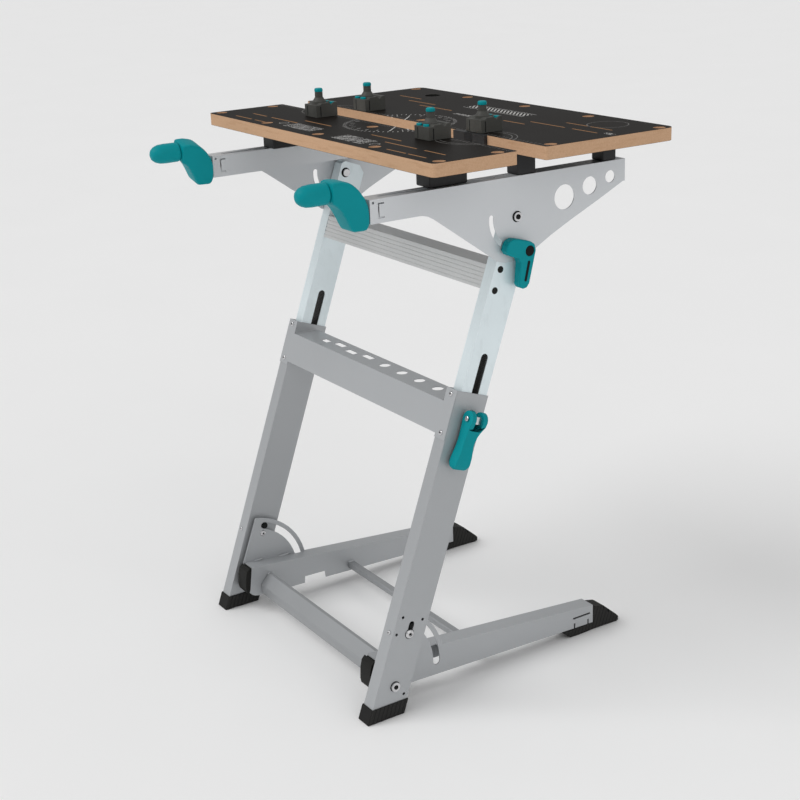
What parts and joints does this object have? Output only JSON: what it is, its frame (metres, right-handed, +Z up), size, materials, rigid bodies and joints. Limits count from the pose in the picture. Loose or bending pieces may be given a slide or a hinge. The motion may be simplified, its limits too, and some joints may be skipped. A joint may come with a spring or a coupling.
{
  "type": "folding work platform bench",
  "caption": "Folding work bench whose clamping table rises and tilts on leaning telescopic legs over a fold-up base.",
  "frame": {"origin": "centre of the bounding box on the floor", "axes": "+X along the jaws, +Y from the user side to the back, +Z up"},
  "size_m": [0.71, 0.6259, 0.957],
  "materials": {
    "back_plate": "dark filmed board with bare tan edges",
    "base_rail_L": "satin silver-grey powder coat",
    "base_rail_R": "satin silver-grey powder coat",
    "cam_lever_L": "moulded, fine texture",
    "cam_lever_R": "moulded, fine texture",
    "cam_pin_L": "bright zinc-plated hardware",
    "cam_pin_R": "bright zinc-plated hardware",
    "crank_L": "moulded, fine texture",
    "crank_R": "moulded, fine texture",
    "crank_grip_L": "moulded, fine texture",
    "crank_grip_R": "moulded, fine texture",
    "dog_body_1": "moulded, matt",
    "dog_body_2": "moulded, matt",
    "dog_body_3": "moulded, matt",
    "dog_body_4": "moulded, matt",
    "dog_cap_1": "moulded, fine texture",
    "dog_cap_2": "moulded, fine texture",
    "dog_cap_3": "moulded, fine texture",
    "dog_cap_4": "moulded, fine texture",
    "fold_pivot_bolt_L": "bright zinc-plated hardware",
    "fold_pivot_bolt_R": "bright zinc-plated hardware",
    "fold_stop_pin_L": "bright zinc-plated hardware",
    "fold_stop_pin_R": "bright zinc-plated hardware",
    "front_cross_member": "satin silver-grey powder coat",
    "front_jaw": "dark filmed board with bare tan edges",
    "height_tie_bolt_L": "bright zinc-plated hardware",
    "height_tie_bolt_R": "bright zinc-plated hardware",
    "jaw_carriage_L": "moulded, matt",
    "jaw_carriage_R": "moulded, matt",
    "leg_foot_cap_L": "moulded rubber",
    "leg_foot_cap_R": "moulded rubber",
    "lower_leg_L": "satin silver-grey powder coat",
    "lower_leg_R": "satin silver-grey powder coat",
    "plate_block_mid_L": "moulded, matt",
    "plate_block_mid_R": "moulded, matt",
    "plate_block_rear_L": "moulded, matt",
    "plate_block_rear_R": "moulded, matt",
    "rail_end_plug_L": "moulded rubber",
    "rail_end_plug_R": "moulded rubber",
    "rear_cross_tube": "satin silver-grey powder coat",
    "rear_foot_L": "moulded rubber",
    "rear_foot_R": "moulded rubber",
    "slot_liner_L": "moulded, matt",
    "slot_liner_R": "moulded, matt",
    "spindle_L": "bright zinc-plated hardware",
    "spindle_R": "bright zinc-plated hardware",
    "table_beam_L": "satin silver-grey powder coat",
    "table_beam_R": "satin silver-grey powder coat",
    "tilt_lever_L": "moulded, fine texture",
    "tilt_lever_R": "moulded, fine texture",
    "tilt_lock_stud_L": "bright zinc-plated hardware",
    "tilt_lock_stud_R": "bright zinc-plated hardware",
    "tilt_pivot_bolt_L": "bright zinc-plated hardware",
    "tilt_pivot_bolt_R": "bright zinc-plated hardware",
    "tool_crossbar": "satin silver-grey powder coat",
    "upper_crossbar": "extruded, bare",
    "upper_leg_L": "zinc-plated",
    "upper_leg_R": "zinc-plated",
    "vee_insert": "moulded, matt"
  },
  "bodies": {
    "frame": {"cam_pin_L": "cam_pin_L", "cam_pin_R": "cam_pin_R", "fold_pivot_bolt_L": "fold_pivot_bolt_L", "fold_pivot_bolt_R": "fold_pivot_bolt_R", "fold_stop_pin_L": "fold_stop_pin_L", "fold_stop_pin_R": "fold_stop_pin_R", "height_tie_bolt_L": "height_tie_bolt_L", "height_tie_bolt_R": "height_tie_bolt_R", "leg_foot_cap_L": "leg_foot_cap_L", "leg_foot_cap_R": "leg_foot_cap_R", "lower_leg_L": "lower_leg_L", "lower_leg_R": "lower_leg_R", "tool_crossbar": "tool_crossbar"},
    "base": {"base_rail_L": "base_rail_L", "base_rail_R": "base_rail_R", "front_cross_member": "front_cross_member", "rail_end_plug_L": "rail_end_plug_L", "rail_end_plug_R": "rail_end_plug_R", "rear_cross_tube": "rear_cross_tube", "rear_foot_L": "rear_foot_L", "rear_foot_R": "rear_foot_R"},
    "uprights": {"slot_liner_L": "slot_liner_L", "slot_liner_R": "slot_liner_R", "tilt_lock_stud_L": "tilt_lock_stud_L", "tilt_lock_stud_R": "tilt_lock_stud_R", "tilt_pivot_bolt_L": "tilt_pivot_bolt_L", "tilt_pivot_bolt_R": "tilt_pivot_bolt_R", "upper_crossbar": "upper_crossbar", "upper_leg_L": "upper_leg_L", "upper_leg_R": "upper_leg_R"},
    "table": {"back_plate": "back_plate", "plate_block_mid_L": "plate_block_mid_L", "plate_block_mid_R": "plate_block_mid_R", "plate_block_rear_L": "plate_block_rear_L", "plate_block_rear_R": "plate_block_rear_R", "table_beam_L": "table_beam_L", "table_beam_R": "table_beam_R", "vee_insert": "vee_insert"},
    "jaw": {"front_jaw": "front_jaw", "jaw_carriage_L": "jaw_carriage_L", "jaw_carriage_R": "jaw_carriage_R"},
    "cam_L": {"cam_lever_L": "cam_lever_L"},
    "cam_R": {"cam_lever_R": "cam_lever_R"},
    "crank_L_body": {"crank_L": "crank_L", "spindle_L": "spindle_L"},
    "crank_R_body": {"crank_R": "crank_R", "spindle_R": "spindle_R"},
    "grip_L": {"crank_grip_L": "crank_grip_L"},
    "grip_R": {"crank_grip_R": "crank_grip_R"},
    "dog_1": {"dog_body_1": "dog_body_1", "dog_cap_1": "dog_cap_1"},
    "dog_2": {"dog_body_2": "dog_body_2", "dog_cap_2": "dog_cap_2"},
    "dog_3": {"dog_body_3": "dog_body_3", "dog_cap_3": "dog_cap_3"},
    "dog_4": {"dog_body_4": "dog_body_4", "dog_cap_4": "dog_cap_4"},
    "tilt_L": {"tilt_lever_L": "tilt_lever_L"},
    "tilt_R": {"tilt_lever_R": "tilt_lever_R"}
  },
  "joints": [
    {"name": "base_fold", "type": "hinge", "parent": "frame", "child": "base", "pos_m": [0, -0.19229, 0.054], "axis": [1, 0, 0], "range_deg": [0, 70]},
    {"name": "height_slide", "type": "slide", "parent": "frame", "child": "uprights", "axis": [0, 0.3404, 0.9403], "range_m": [-0.095, 0.03]},
    {"name": "table_tilt", "type": "hinge", "parent": "uprights", "child": "table", "pos_m": [0, 0.06414, 0.79028], "axis": [1, 0, 0], "range_deg": [0, 60]},
    {"name": "jaw_slide", "type": "slide", "parent": "table", "child": "jaw", "axis": [0, 1, 0], "range_m": [-0.0852, 0.0452]},
    {"name": "crank_turn_R", "type": "hinge", "parent": "table", "child": "crank_R_body", "pos_m": [0.253, -0.21745, 0.832], "axis": [0, 1, 0], "range_deg": [-5100, 2700]},
    {"name": "grip_spin_R", "type": "hinge", "parent": "crank_R_body", "child": "grip_R", "pos_m": [0.253, -0.27745, 0.869], "axis": [0, 1, 0], "continuous": true},
    {"name": "cam_turn_R", "type": "hinge", "parent": "frame", "child": "cam_R", "pos_m": [0.284, -0.03283, 0.48187], "axis": [0, -0.9403, 0.3404], "range_deg": [0, 100]},
    {"name": "tilt_lever_turn_R", "type": "hinge", "parent": "uprights", "child": "tilt_R", "pos_m": [0.28, 0.04746, 0.7442], "axis": [1, 0, 0], "range_deg": [0, 60]},
    {"name": "crank_turn_L", "type": "hinge", "parent": "table", "child": "crank_L_body", "pos_m": [-0.253, -0.21745, 0.832], "axis": [0, 1, 0], "range_deg": [-5100, 2700]},
    {"name": "grip_spin_L", "type": "hinge", "parent": "crank_L_body", "child": "grip_L", "pos_m": [-0.24405, -0.27745, 0.8679], "axis": [0, 1, 0], "continuous": true},
    {"name": "cam_turn_L", "type": "hinge", "parent": "frame", "child": "cam_L", "pos_m": [-0.284, -0.03283, 0.48187], "axis": [0, 0.9403, -0.3404], "range_deg": [0, 100]},
    {"name": "tilt_lever_turn_L", "type": "hinge", "parent": "uprights", "child": "tilt_L", "pos_m": [-0.28, 0.04746, 0.7442], "axis": [1, 0, 0], "range_deg": [0, 60]},
    {"name": "dog_turn_1", "type": "hinge", "parent": "jaw", "child": "dog_1", "pos_m": [-0.171, -0.02445, 0.9095], "axis": [0, 0, 1], "continuous": true},
    {"name": "dog_turn_2", "type": "hinge", "parent": "table", "child": "dog_2", "pos_m": [-0.171, 0.07355, 0.9095], "axis": [0, 0, 1], "continuous": true},
    {"name": "dog_turn_3", "type": "hinge", "parent": "jaw", "child": "dog_3", "pos_m": [0.171, -0.02445, 0.9095], "axis": [0, 0, 1], "continuous": true},
    {"name": "dog_turn_4", "type": "hinge", "parent": "table", "child": "dog_4", "pos_m": [0.171, 0.07355, 0.9095], "axis": [0, 0, 1], "continuous": true}
  ],
  "couplings": [
    {"joint": "jaw_slide", "follows": "crank_turn_R", "m_per_rad": 0.00095493},
    {"joint": "crank_turn_L", "follows": "crank_turn_R", "ratio": 1}
  ]
}
